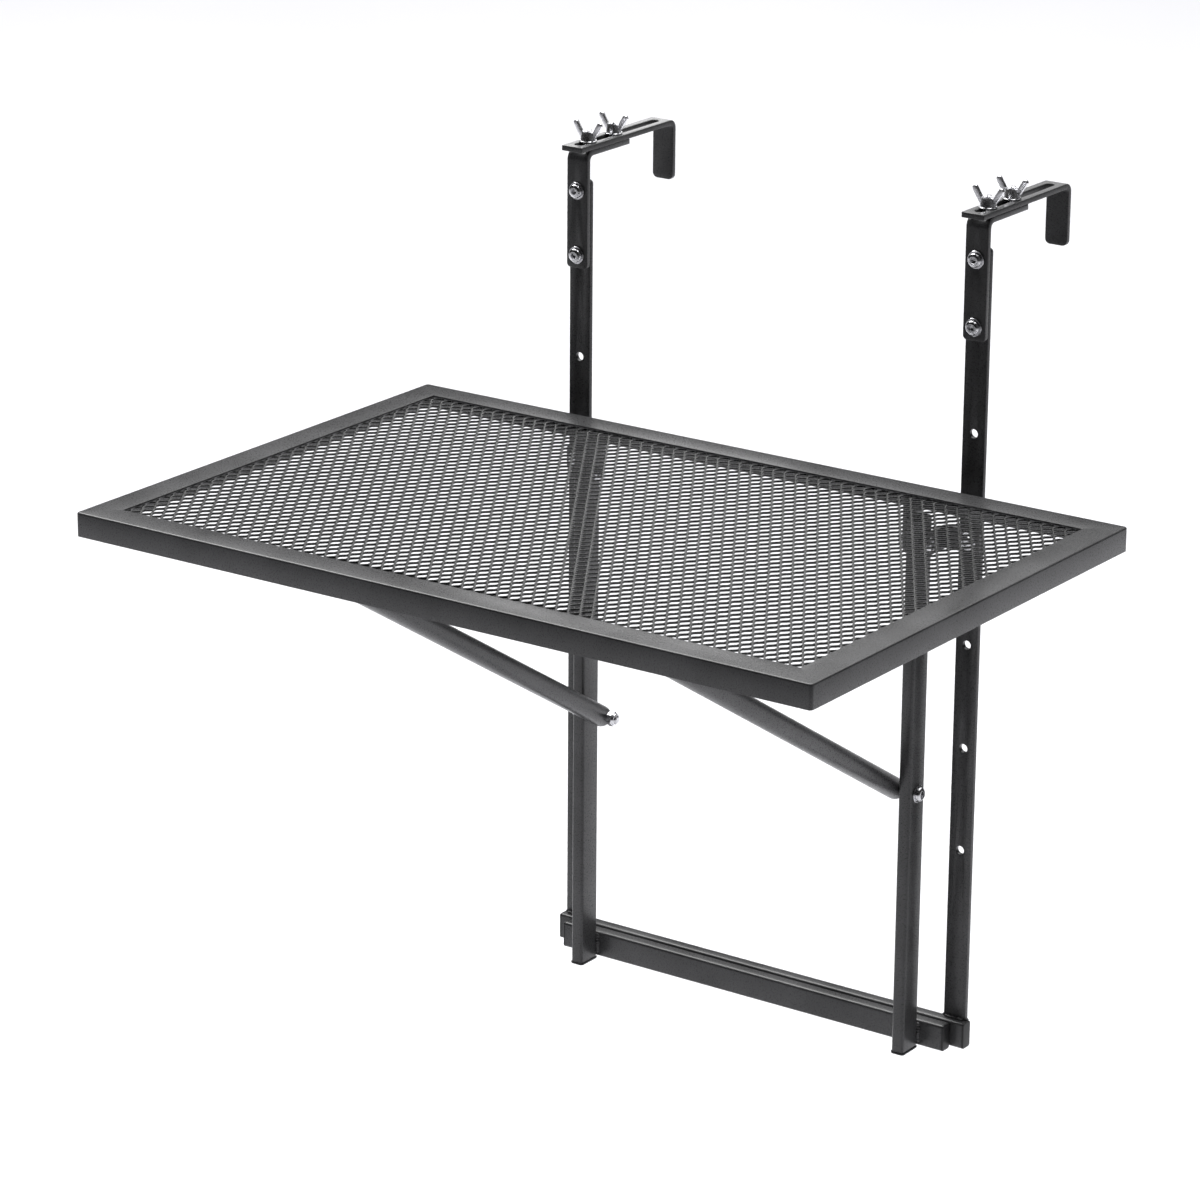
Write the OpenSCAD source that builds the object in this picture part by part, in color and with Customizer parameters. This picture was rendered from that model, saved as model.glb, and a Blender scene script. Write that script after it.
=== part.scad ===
// Balcony railing bar table: a folding table top that hangs from two hooks on a railing.
// X runs along the railing, Y points from the table to the railing and Z is up.
// The origin lies midway between the posts, at their rear faces, level with the railing top.

/* [Table Top] */
// Width of the table top along the railing
top_w = 600; // [420:10:1000]
// Depth of the table top
top_d = 400; // [300:10:600]
// Height of the table top above the folding axis
top_rise = 38; // [36:1:50]
// Width of the frame rail's top flange
rail_flange = 23; // [15:1:32]
// Height of the frame rail's outer face
rail_h = 17.5; // [12:0.5:19]
// Metal thickness of the frame rail
rail_t = 1.7; // [1:0.1:2.5]
// Radius of the table's corners in plan
rail_corner_r = 2.5; // [2.5:0.5:6]

/* [Expanded Metal] */
// Diamond cells along the width
mesh_cols = 17; // [8:1:17]
// Diamond cells along the depth
mesh_rows = 8; // [4:1:8]
// Width of a strand
mesh_strand = 2.6; // [1.5:0.1:4]
// Thickness of the panel
mesh_t = 2.2; // [1.2:0.1:3]
// How far the panel laps under the rails
mesh_lap = 10; // [5:1:13]

/* [Flat Bars] */
// Width of the posts, brackets and hooks
bar_w = 18; // [16:1:24]
// Thickness of the posts, brackets and hooks
bar_t = 4; // [3:0.5:6]
// Corner radius at the free ends of the bars
bar_corner_r = 3; // [1:0.5:5]

/* [Posts] */
// Distance between the centre lines of the posts
post_spacing = 337; // [330:1:400]
// Length of a post
post_len = 577; // [540:1:700]
// Bar left above the upper bracket bolt
post_head = 8; // [6:1:16]
// Drop from the railing top to the upper bracket bolt
bolt_drop = 26; // [22:1:40]
// Distance between the two bracket bolts
bolt_pitch = 48; // [30:1:60]
// Distance between the holes of the row below
hole_pitch = 78; // [72:1:84]
// Holes in the row, which starts at the lower bracket bolt
hole_count = 6; // [4:1:6]
// Place in the row, counted from 0, of the hole that carries the hinge bracket
hinge_hole = 2; // [1:1:2]

/* [Clamp Brackets] */
// Length of the arm behind the post
arm_len = 46; // [42:1:80]
// Outer radius of the bracket's bend
bracket_bend_r = 8; // [7:0.5:10]
// Bar left below the lower bracket bolt
bracket_tail = 10; // [7:1:16]
// Place of the front clamp bolt behind the post
clamp_y = 5.5; // [4:0.5:8]
// Distance between the two clamp bolts
clamp_pitch = 32.5; // [28:0.5:34]

/* [Hooks] */
// Overhang of the hook in front of the posts' rear faces
hook_front = 15; // [12:1:30]
// Distance from the posts' rear faces to the outer face of the drop plate
hook_reach = 106; // [90:1:160]
// Height of the drop plate, measured over the bend
hook_drop = 46; // [30:1:80]
// Outer radius of the hook's bend
hook_bend_r = 7; // [6.5:0.5:10]
// Corner radius at the end of the drop plate
hook_corner_r = 4; // [1:0.5:6]
// Width of the slot
slot_w = 7; // [6.6:0.1:9]
// Bar left in front of the slot
slot_front = 6; // [4:1:8]
// Bar left behind the slot, measured over the bend
slot_rear = 12; // [11:1:30]

/* [Legs] */
// Distance between the centre lines of the legs
leg_spacing = 285; // [270:1:286]
// Width of the leg tube along X
leg_w = 10; // [8:1:12]
// Depth of the leg tube along Y
leg_d = 20; // [18:1:24]
// How far the legs reach below the rear crossbar
leg_drop = 1; // [0:0.5:20]
// Gap between the leg's top and the rail over it
leg_gap = 1.5; // [0.5:0.5:4]
// Thickness of the cap under a leg
leg_cap_t = 1.5; // [1:0.5:4]
// How far the cap stands out round the leg
leg_cap_lip = 0.7; // [0.2:0.1:1.5]

/* [Tubes and Crossbars] */
// Wall of the rectangular tubes
tube_wall = 1.5; // [1:0.1:1.9]
// Corner radius of the rectangular tubes
tube_corner_r = 2; // [2:0.1:2.5]
// Height of the crossbars
cross_h = 20; // [15:1:30]
// Depth of the crossbars
cross_d = 10; // [8:0.5:12]
// Length of the rear crossbar over its plugs
rear_cross_len = 360; // [355:1:420]
// Length of the leg crossbar over its plugs
leg_cross_len = 338; // [300:1:345]
// Gap between the two crossbars at rest
stop_gap = 0.4; // [0.3:0.1:1]
// Thickness of a plug's head
plug_t = 1.2; // [0.8:0.1:2]
// Depth of a plug inside its tube
plug_depth = 12; // [8:1:14]

/* [Hinges] */
// Thickness of the hinge bracket
hinge_t = 3; // [2:0.5:4]
// Height of the hinge bracket
hinge_h = 17; // [14:1:20]
// Thickness of the table's hinge tab
tab_t = 3; // [2:0.5:4]
// Radius of the tab's round end
tab_r = 9; // [7:0.5:10]
// Gap beside the legs
side_gap = 0.3; // [0.3:0.1:0.6]

/* [Brace] */
// Gap between an arm of the brace and the foot cap that it folds past
brace_side_gap = 0.3; // [0.3:0.1:4]
// Diameter of the brace tube
brace_d = 16; // [12:0.5:16]
// Wall of the brace tube
brace_wall = 1.2; // [0.8:0.1:2]
// Bend radius of the brace tube's centre line
brace_bend_r = 28; // [20:1:50]
// Height of the brace's pivots above the lower ends of the legs
brace_rise = 199; // [150:1:230]
// Distance from the table's front edge to the centre of the brace's front tube
brace_setback = 37; // [36:1:60]
// Gap between the brace and the panel above it
brace_gap = 1.8; // [1.8:0.1:4]
// Solid length at a lower end, beyond its pivot
brace_end = 12; // [8:1:20]

/* [Fasteners] */
// Diameter of every bolt
bolt_d = 6; // [5:0.5:6]
// Diameter of a button head
head_d = 10.5; // [9:0.5:12]
// Height of a button head
head_h = 3.3; // [2.5:0.1:4]
// Width across the flats of a head's socket
socket_af = 4; // [3:0.5:5]
// Depth of a head's socket
socket_depth = 2; // [1:0.1:2.2]
// Diameter of a washer
washer_d = 13; // [12:0.5:14]
// Thickness of a washer
washer_t = 1.2; // [0.8:0.1:2]
// Width across the flats of a nut
nut_af = 10; // [8:0.5:11]
// Height of a nut over its collar
nut_h = 6; // [5:0.5:8]
// Height of a nut's collar
nut_collar_h = 1.8; // [1:0.1:3]
// Diameter of a nut's collar as a share of the width across its flats
nut_collar_share = 0.9; // [0.85:0.01:1]
// Length of bolt that stands out of a nut
bolt_tip = 1.5; // [0.5:0.5:4]
// Diameter of a countersunk head
sink_d = 11; // [10:0.5:12]
// Height of a countersunk head
sink_h = 2.8; // [1.8:0.1:2.9]

/* [Wing Nuts] */
// Span over the wings
wing_span = 25; // [20:1:28]
// Height over the wings
wing_h = 14; // [11:1:20]
// Thickness of a wing
wing_t = 2.4; // [1.5:0.1:4]
// Radius of a wing's tip
wing_tip_r = 2; // [1:0.1:3]
// Diameter of the hub at its base
hub_d = 11.5; // [10:0.5:12]
// Diameter of the hub at its top
hub_top_d = 8.4; // [7.5:0.1:9.5]
// Height of the hub
hub_h = 6.5; // [5:0.5:8]

/* [Fits] */
// Radial clearance of a bolt in a plain hole
hole_gap = 0.25; // [0.1:0.05:0.5]
// Radial clearance of a bolt in a pivot hole or a nut
pivot_gap = 0.05; // [0.02:0.01:0.1]
// Gap between a plug and its tube
plug_gap = 0.1; // [0.05:0.05:0.3]

/* [Hidden] */

$fn = 64;
left = -1;
right = 1;
sides = [left, right];
// Overrun of every cut past the faces that it opens
over = 1;
// Sides of a hexagon, for nuts and sockets
hex = 6;

// Places on the posts
post_x = post_spacing / 2;
post_top = post_head - bolt_drop;
post_bottom = post_top - post_len;
upper_bolt_z = -bolt_drop;
lower_bolt_z = upper_bolt_z - bolt_pitch;
hole_zs = [for (i = [0 : hole_count - 1]) lower_bolt_z - i * hole_pitch];

// The folding axis and the legs
leg_x = leg_spacing / 2;
leg_front = -2 * cross_d - stop_gap - leg_d;
leg_y = leg_front + leg_d / 2;
pivot_y = leg_y;
pivot_z = hole_zs[hinge_hole];
top_z = pivot_z + top_rise;
leg_top = top_z - rail_h - leg_gap;
leg_bottom = post_bottom - cross_h - leg_drop;
leg_len = leg_top - leg_bottom;

// The table top's rectangle, whose rear edge keeps clear of the posts as it tips
top_rear_gap = 12;
top_rear = -bar_t - top_rear_gap;
top_front = top_rear - top_d;
top_y = (top_rear + top_front) / 2;
mesh_top = top_z - rail_t;
mesh_bottom = mesh_top - mesh_t;
window_w = top_w - 2 * rail_flange;
window_d = top_d - 2 * rail_flange;

// The tab ends just below the panel
tab_top = mesh_bottom - side_gap;
tab_inner = leg_x - leg_w / 2 - side_gap - tab_t;

// The brace runs from its pivots to a rest behind the front rail
brace_r = brace_d / 2;
brace_x = leg_x - leg_w / 2 - leg_cap_lip - brace_side_gap - brace_r;
brace_pivot_z = leg_bottom + brace_rise;
brace_rest_y = top_front + brace_setback;
brace_rest_z = mesh_bottom - brace_gap - brace_r;
brace_angle = atan2(brace_rest_z - brace_pivot_z, pivot_y - brace_rest_y);
brace_len = norm([pivot_y - brace_rest_y, brace_rest_z - brace_pivot_z]);

// The hinge bracket's flange lies outside its leg
flange_inner = leg_x + leg_w / 2 + side_gap;
flange_outer = flange_inner + hinge_t;

// The hook lies on the arms
arm_top = bar_t;
hook_top = arm_top + bar_t;
clamp_ys = [clamp_y, clamp_y + clamp_pitch];

// Outline of one wing, as shares of the half span and the height, from the hub outwards
wing_shares = [[0.1, 0.3], [0.7, 0.97], [0.98, 0.8], [0.7, 0.42], [0.42, 0.06]];

coat = [0.22, 0.22, 0.23];
zinc = [0.74, 0.75, 0.77];
plastic = [0.08, 0.08, 0.08];

// Shared outlines and cuts

module rounded_rect(w, d, r) {
    square([w - 2 * r, d], center = true);
    square([w, d - 2 * r], center = true);
    for (x = [-1, 1], y = [-1, 1])
        translate([x * (w / 2 - r), y * (d / 2 - r)]) circle(r);
}

module tube_outline(w, d) {
    difference() {
        rounded_rect(w, d, tube_corner_r);
        rounded_rect(w - 2 * tube_wall, d - 2 * tube_wall, tube_corner_r - tube_wall);
    }
}

// Strip that runs up the Y axis and bends over along X
module bent_strip(rise, reach, t, r) {
    square([t, rise - r]);
    translate([r, rise - t]) square([reach - r, t]);
    translate([r, rise - r]) intersection() {
        difference() {
            circle(r);
            circle(r - t);
        }
        translate([-r, 0]) square(r);
    }
}

// Rounds the corner at the origin of a plate that fills the first quadrant
module corner_cut(r, t) {
    translate([0, 0, -over]) linear_extrude(t + 2 * over) difference() {
        translate([-over, -over]) square(r + over);
        translate([r, r]) circle(r);
    }
}

// Rounds both corners at the lower end of a plate that stands in the XZ plane
module round_end(w, r, t) {
    for (s = [0, 1]) mirror([s, 0, 0])
        translate([-w / 2, 0, 0]) rotate([90, 0, 0]) corner_cut(r, t);
}

module hole_y(r, from, to) {
    translate([0, to, 0]) rotate([90, 0, 0]) cylinder(r = r, h = to - from);
}

module hole_x(r, from, to) {
    translate([from, 0, 0]) rotate([0, 90, 0]) cylinder(r = r, h = to - from);
}

// The pieces are drawn on the right side and mirrored to the left
module on_side(side) {
    mirror([side < 0 ? 1 : 0, 0, 0]) children();
}

// Fasteners, each along Z with the head's seat at the origin

module button_bolt(grip) {
    dome_r = (pow(head_d / 2, 2) + pow(head_h, 2)) / (2 * head_h);
    difference() {
        union() {
            rotate_extrude() intersection() {
                translate([0, head_h - dome_r]) circle(dome_r);
                square([head_d, head_h]);
            }
            translate([0, 0, -grip - nut_h - bolt_tip]) cylinder(d = bolt_d, h = grip + nut_h + bolt_tip);
        }
        translate([0, 0, head_h - socket_depth])
            cylinder(d = socket_af / cos(180 / hex), h = socket_depth + over, $fn = hex);
    }
}

module washer() {
    linear_extrude(washer_t) difference() {
        circle(d = washer_d);
        circle(bolt_d / 2 + pivot_gap);
    }
}

// Lock nut whose seat is at the origin and whose collar points along +Z
module lock_nut() {
    difference() {
        union() {
            cylinder(d = nut_af / cos(180 / hex), h = nut_h - nut_collar_h, $fn = hex);
            cylinder(d = nut_af * nut_collar_share, h = nut_h);
        }
        translate([0, 0, -over]) cylinder(r = bolt_d / 2 + pivot_gap, h = nut_h + 2 * over);
    }
}

// Hanger

module post(side) {
    color(coat) on_side(side) translate([post_x, 0, 0]) difference() {
        translate([-bar_w / 2, -bar_t, post_bottom]) cube([bar_w, bar_t, post_len]);
        translate([0, 0, post_top]) mirror([0, 0, 1]) round_end(bar_w, bar_corner_r, bar_t);
        for (z = concat([upper_bolt_z], hole_zs))
            translate([0, 0, z]) hole_y(bolt_d / 2 + hole_gap, -bar_t - over, over);
    }
}

// Closed tube along X, without the heads of its two plugs
module crossbar(len) {
    body = len - 2 * plug_t;
    translate([-body / 2, 0, 0]) rotate([90, 0, 90]) linear_extrude(body) tube_outline(cross_d, cross_h);
}

module crossbar_plugs(len) {
    fit = tube_wall + plug_gap;
    for (s = sides) on_side(s) translate([len / 2 - plug_t, 0, 0]) rotate([90, 0, 90]) {
        linear_extrude(plug_t) rounded_rect(cross_d, cross_h, tube_corner_r);
        translate([0, 0, -plug_depth]) linear_extrude(plug_depth) difference() {
            rounded_rect(cross_d - 2 * fit, cross_h - 2 * fit, tube_corner_r - tube_wall);
            square([cross_d - 4 * fit, cross_h - 4 * fit], center = true);
        }
    }
}

module place_rear_crossbar() {
    translate([0, -cross_d / 2, post_bottom - cross_h / 2]) children();
}

module rear_crossbar() {
    color(coat) place_rear_crossbar() crossbar(rear_cross_len);
}

module rear_crossbar_plugs() {
    color(plastic) place_rear_crossbar() crossbar_plugs(rear_cross_len);
}

module clamp_bracket(side) {
    foot = lower_bolt_z - bracket_tail;
    color(coat) on_side(side) translate([post_x, 0, 0]) difference() {
        translate([-bar_w / 2, -2 * bar_t, foot]) rotate([90, 0, 90])
            linear_extrude(bar_w) bent_strip(arm_top - foot, arm_len + 2 * bar_t, bar_t, bracket_bend_r);
        translate([0, -bar_t, foot]) round_end(bar_w, bar_corner_r, bar_t);
        for (z = [upper_bolt_z, lower_bolt_z])
            translate([0, 0, z]) hole_y(bolt_d / 2 + hole_gap, -2 * bar_t - over, -bar_t + over);
        for (y = clamp_ys) translate([0, y, 0]) {
            translate([0, 0, -over]) cylinder(r = bolt_d / 2 + pivot_gap, h = bar_t + 2 * over);
            translate([0, 0, -over]) cylinder(d = sink_d, h = over);
            cylinder(r1 = sink_d / 2, r2 = bolt_d / 2 + pivot_gap, h = sink_h);
        }
    }
}

module at_bracket_bolts() {
    for (s = sides, z = [upper_bolt_z, lower_bolt_z]) on_side(s) translate([post_x, 0, z]) children();
}

module bracket_bolts() {
    color(zinc) at_bracket_bolts() translate([0, -2 * bar_t - washer_t, 0]) rotate([90, 0, 0])
        button_bolt(2 * bar_t + washer_t);
}

module bracket_washers() {
    color(zinc) at_bracket_bolts() translate([0, -2 * bar_t, 0]) rotate([90, 0, 0]) washer();
}

module bracket_nuts() {
    color(zinc) at_bracket_bolts() rotate([-90, 0, 0]) lock_nut();
}

module at_clamp_bolts() {
    for (s = sides, y = clamp_ys) on_side(s) translate([post_x, y, 0]) children();
}

module clamp_bolts() {
    color(zinc) at_clamp_bolts() {
        cylinder(d = bolt_d, h = hook_top + washer_t + hub_h + bolt_tip);
        cylinder(r1 = sink_d / 2 - pivot_gap, r2 = bolt_d / 2, h = sink_h);
    }
}

module clamp_washers() {
    color(zinc) at_clamp_bolts() translate([0, 0, hook_top]) washer();
}

// Hinge bracket: a plate on the post's front and a flange along the leg
module hinge_bracket(side) {
    plate_outer = post_x + bar_w / 2;
    flange_front = pivot_y - hinge_h / 2;
    color(coat) on_side(side) translate([0, 0, pivot_z]) difference() {
        union() {
            translate([flange_inner, -bar_t - hinge_t, -hinge_h / 2])
                cube([plate_outer - flange_inner, hinge_t, hinge_h]);
            translate([flange_inner, pivot_y, -hinge_h / 2]) cube([hinge_t, -bar_t - pivot_y, hinge_h]);
            translate([0, pivot_y, 0]) hole_x(pivot_y - flange_front, flange_inner, flange_outer);
        }
        translate([post_x, 0, 0]) hole_y(bolt_d / 2 + hole_gap, -bar_t - hinge_t - over, -bar_t + over);
        translate([0, pivot_y, 0]) hole_x(bolt_d / 2 + pivot_gap, flange_inner - over, flange_outer + over);
        translate([flange_inner, -bar_t, -hinge_h / 2 - over])
            rotate([0, 0, -90]) linear_extrude(hinge_h + 2 * over) difference() {
                translate([-over, -over]) square(hinge_t + over);
                translate([hinge_t, hinge_t]) circle(hinge_t);
            }
    }
}

module at_hinge_bolts() {
    for (s = sides) on_side(s) translate([post_x, 0, pivot_z]) children();
}

module hinge_bracket_bolts() {
    color(zinc) at_hinge_bolts() translate([0, -bar_t - hinge_t - washer_t, 0]) rotate([90, 0, 0])
        button_bolt(bar_t + hinge_t + washer_t);
}

module hinge_bracket_washers() {
    color(zinc) at_hinge_bolts() translate([0, -bar_t - hinge_t, 0]) rotate([90, 0, 0]) washer();
}

module hinge_bracket_nuts() {
    color(zinc) at_hinge_bolts() rotate([-90, 0, 0]) lock_nut();
}

module at_pivots() {
    for (s = sides) on_side(s) translate([0, pivot_y, pivot_z]) children();
}

module pivot_bolts() {
    color(zinc) at_pivots() translate([flange_outer, 0, 0]) rotate([0, 90, 0])
        button_bolt(flange_outer - tab_inner);
}

module pivot_nuts() {
    color(zinc) at_pivots() translate([tab_inner, 0, 0]) rotate([0, -90, 0]) lock_nut();
}

// Hooks and wing nuts

module hook(side) {
    foot = hook_top - hook_drop;
    color(coat) on_side(side) translate([post_x, 0, 0]) difference() {
        translate([bar_w / 2, hook_reach, foot]) rotate([90, 0, -90])
            linear_extrude(bar_w) bent_strip(hook_drop, hook_reach + hook_front, bar_t, hook_bend_r);
        translate([0, hook_reach, foot]) round_end(bar_w, hook_corner_r, bar_t);
        translate([0, 0, arm_top - over]) linear_extrude(bar_t + 2 * over) slot_outline();
    }
}

module slot_outline() {
    front = slot_front - hook_front + slot_w / 2;
    rear = hook_reach - slot_rear - slot_w / 2;
    translate([-slot_w / 2, front]) square([slot_w, rear - front]);
    for (y = [front, rear]) translate([0, y]) circle(d = slot_w);
}

module wing_outline() {
    span = wing_span / 2;
    polygon([for (p = wing_shares) [p[0] * span, p[1] * wing_h]]);
    translate([span - wing_tip_r, wing_h - wing_tip_r]) circle(wing_tip_r);
}

module wing_nut(side, y) {
    color(zinc) on_side(side) translate([post_x, y, hook_top + washer_t]) difference() {
        union() {
            cylinder(d1 = hub_d, d2 = hub_top_d, h = hub_h);
            for (s = sides) on_side(s) translate([0, wing_t / 2, 0]) rotate([90, 0, 0])
                linear_extrude(wing_t) wing_outline();
        }
        translate([0, 0, -over]) cylinder(r = bolt_d / 2 + pivot_gap, h = wing_h + 2 * over);
    }
}

// Leg frame

module leg(side) {
    color(coat) on_side(side) translate([leg_x, leg_y, 0]) difference() {
        translate([0, 0, leg_bottom]) linear_extrude(leg_len) tube_outline(leg_w, leg_d);
        for (z = [pivot_z, brace_pivot_z])
            translate([0, 0, z]) hole_x(bolt_d / 2 + pivot_gap, -leg_w / 2 - over, leg_w / 2 + over);
    }
}

module leg_caps() {
    fit = tube_wall + plug_gap;
    color(plastic) for (s = sides) on_side(s) translate([leg_x, leg_y, leg_bottom]) {
        translate([0, 0, -leg_cap_t]) linear_extrude(leg_cap_t)
            rounded_rect(leg_w + 2 * leg_cap_lip, leg_d + 2 * leg_cap_lip, tube_corner_r);
        linear_extrude(plug_depth)
            rounded_rect(leg_w - 2 * fit, leg_d - 2 * fit, tube_corner_r - tube_wall);
    }
}

module place_leg_crossbar() {
    translate([0, leg_y + leg_d / 2 + cross_d / 2, leg_bottom + cross_h / 2]) children();
}

module leg_crossbar() {
    color(coat) place_leg_crossbar() crossbar(leg_cross_len);
}

module leg_crossbar_plugs() {
    color(plastic) place_leg_crossbar() crossbar_plugs(leg_cross_len);
}

// Table top

// Angle profile round the whole table, open below and inside
module rail_ring() {
    inner_r = rail_corner_r - rail_t;
    difference() {
        translate([0, 0, -rail_h]) linear_extrude(rail_h) rounded_rect(top_w, top_d, rail_corner_r);
        translate([0, 0, -rail_h - over]) linear_extrude(rail_h - rail_t + over)
            rounded_rect(top_w - 2 * rail_t, top_d - 2 * rail_t, inner_r);
        translate([0, 0, -rail_t - over]) linear_extrude(rail_t + 2 * over)
            square([window_w, window_d], center = true);
    }
}

// Plan of one mitred side, from its outer edge to just past the flange
module mitre(half, edge) {
    depth = rail_flange + over;
    polygon([
        [-half - over, -edge - over], [half + over, -edge - over],
        [half - depth, depth - edge], [depth - half, depth - edge]
    ]);
}

module rail(angle, half, edge) {
    color(coat) translate([0, top_y, top_z]) intersection() {
        rail_ring();
        rotate([0, 0, angle]) translate([0, 0, -rail_h - over]) linear_extrude(rail_h + 2 * over)
            mitre(half, edge);
    }
}

// Diamond of one cell, drawn in by half a strand on every side
module cell(a, b) {
    reach = a * b / norm([a, b]);
    k = 1 - mesh_strand / 2 / reach;
    polygon([[a * k, 0], [0, b * k], [-a * k, 0], [0, -b * k]]);
}

module mesh_panel() {
    cell_w = window_w / mesh_cols;
    cell_d = window_d / mesh_rows;
    color(coat) translate([0, top_y, mesh_bottom]) linear_extrude(mesh_t) difference() {
        square([window_w + 2 * mesh_lap, window_d + 2 * mesh_lap], center = true);
        intersection() {
            square([window_w, window_d], center = true);
            for (i = [0 : 2 * mesh_cols], j = [0 : 2 * mesh_rows])
                if ((i + j) % 2 == 0)
                    translate([(i - mesh_cols) * cell_w / 2, (j - mesh_rows) * cell_d / 2])
                        cell(cell_w / 2, cell_d / 2);
        }
    }
}

// Tab that hangs from the rear rail's inner face down to the folding axis
module hinge_tab(side) {
    rear = top_rear - rail_t;
    foot = top_z - rail_h;
    color(coat) on_side(side) translate([tab_inner, 0, 0]) difference() {
        union() {
            rotate([90, 0, 90]) linear_extrude(tab_t) polygon([
                [pivot_y - tab_r, pivot_z], [pivot_y - tab_r, tab_top], [rear, tab_top],
                [rear, foot], [pivot_y + tab_r, pivot_z]
            ]);
            translate([0, pivot_y, pivot_z]) hole_x(tab_r, 0, tab_t);
        }
        translate([0, pivot_y, pivot_z]) hole_x(bolt_d / 2 + pivot_gap, -over, tab_t + over);
    }
}

// Brace

// Half of a path of round tube: one arm, its bend and half of the front tube
module brace_path(r, start) {
    arm = brace_len - brace_bend_r;
    translate([brace_x, -start, 0]) rotate([90, 0, 0]) cylinder(r = r, h = arm - start);
    translate([brace_x - brace_bend_r, -arm, 0]) rotate([0, 0, -90])
        rotate_extrude(angle = 90) translate([brace_bend_r, 0]) circle(r);
    hole_span = brace_x - brace_bend_r;
    translate([0, -brace_len, 0]) hole_x(r, 0, hole_span);
}

module brace_tube() {
    color(coat) translate([0, pivot_y, brace_pivot_z]) rotate([-brace_angle, 0, 0]) difference() {
        for (s = sides) on_side(s) {
            brace_path(brace_r, 0);
            translate([brace_x, 0, 0]) sphere(brace_r);
        }
        for (s = sides) on_side(s) {
            brace_path(brace_r - brace_wall, brace_end);
            translate([brace_x, 0, 0]) hole_x(bolt_d / 2 + pivot_gap, -brace_d, brace_d);
        }
    }
}

module at_brace_pivots() {
    for (s = sides) on_side(s) translate([0, pivot_y, brace_pivot_z]) children();
}

module brace_bolts() {
    seat = leg_x + leg_w / 2 + washer_t;
    color(zinc) at_brace_pivots() translate([seat, 0, 0]) rotate([0, 90, 0])
        button_bolt(seat - brace_x + brace_r);
}

module brace_washers() {
    color(zinc) at_brace_pivots() translate([leg_x + leg_w / 2, 0, 0]) rotate([0, 90, 0]) washer();
}

module brace_nuts() {
    color(zinc) at_brace_pivots() translate([brace_x - brace_r, 0, 0]) rotate([0, -90, 0]) lock_nut();
}

post(left);  // post_left
post(right);  // post_right
rear_crossbar();
rear_crossbar_plugs();
clamp_bracket(left);  // clamp_bracket_left
clamp_bracket(right);  // clamp_bracket_right
bracket_bolts();
bracket_washers();
bracket_nuts();
clamp_bolts();
clamp_washers();
hook(left);  // hook_left
hook(right);  // hook_right
wing_nut(left, clamp_ys[0]);  // wing_nut_left_front
wing_nut(left, clamp_ys[1]);  // wing_nut_left_rear
wing_nut(right, clamp_ys[0]);  // wing_nut_right_front
wing_nut(right, clamp_ys[1]);  // wing_nut_right_rear
hinge_bracket(left);  // hinge_bracket_left
hinge_bracket(right);  // hinge_bracket_right
hinge_bracket_bolts();
hinge_bracket_washers();
hinge_bracket_nuts();
pivot_bolts();
pivot_nuts();
leg(left);  // leg_left
leg(right);  // leg_right
leg_caps();
leg_crossbar();
leg_crossbar_plugs();
rail(0, top_w / 2, top_d / 2);  // rail_front
rail(180, top_w / 2, top_d / 2);  // rail_rear
rail(-90, top_d / 2, top_w / 2);  // rail_left
rail(90, top_d / 2, top_w / 2);  // rail_right
mesh_panel();
hinge_tab(left);  // hinge_tab_left
hinge_tab(right);  // hinge_tab_right
brace_tube();
brace_bolts();
brace_washers();
brace_nuts();
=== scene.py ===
import math

import bmesh
import bpy
from mathutils import Matrix, Vector


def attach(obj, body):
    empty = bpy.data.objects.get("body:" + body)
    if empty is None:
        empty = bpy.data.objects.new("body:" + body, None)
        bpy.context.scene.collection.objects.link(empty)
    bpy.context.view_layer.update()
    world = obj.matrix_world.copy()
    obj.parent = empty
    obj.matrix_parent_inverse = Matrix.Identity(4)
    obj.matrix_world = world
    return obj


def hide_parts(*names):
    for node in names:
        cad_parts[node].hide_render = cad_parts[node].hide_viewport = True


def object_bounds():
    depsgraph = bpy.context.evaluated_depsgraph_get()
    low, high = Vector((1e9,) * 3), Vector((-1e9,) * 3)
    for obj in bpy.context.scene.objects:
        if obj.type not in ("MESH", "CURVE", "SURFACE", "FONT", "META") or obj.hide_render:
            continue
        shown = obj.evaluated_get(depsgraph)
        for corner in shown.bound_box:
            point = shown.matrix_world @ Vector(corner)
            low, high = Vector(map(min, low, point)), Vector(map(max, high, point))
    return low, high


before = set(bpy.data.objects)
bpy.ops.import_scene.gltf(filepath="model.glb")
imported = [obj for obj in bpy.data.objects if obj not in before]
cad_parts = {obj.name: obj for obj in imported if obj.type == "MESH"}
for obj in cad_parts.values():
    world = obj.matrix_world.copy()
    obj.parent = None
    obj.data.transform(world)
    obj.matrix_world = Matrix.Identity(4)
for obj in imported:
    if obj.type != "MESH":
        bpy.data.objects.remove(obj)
cadLow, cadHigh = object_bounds()
scene = bpy.context.scene
mm = 0.001  # pieces are drawn in millimetres and scaled as they are finished
mergeDistance = 0.0005  # corners nearer to each other than this, in millimetres, become one
sides = (("left", -1), ("right", 1))
print("frame loaded:", len(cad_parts), "nodes")

# powder coat of the bars, rails and tubes; sizes in millimetres, gloss is the index of refraction
coatLook = {
    "shade": 0.055,
    "shadeSpread": 0.3,
    "roughLow": 0.25,
    "roughHigh": 0.34,
    "cloudSize": 45.0,
    "grainSize": 0.9,
    "peelSize": 3.2,
    "grainDepth": 0.004,
    "gloss": 1.5,
}
# the mesh's base colour is painted shade: it is much darker than the frame's coat to stand in for the
# shadowed sides of its strands, and it is glossier; the welds show through their coat as lumps
meshLookWithPaintedShade = {**coatLook, "shade": 0.008, "gloss": 1.7, "roughLow": 0.24, "roughHigh": 0.32}
weldLook = {**coatLook, "grainSize": 1.6, "grainDepth": 0.1}
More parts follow.
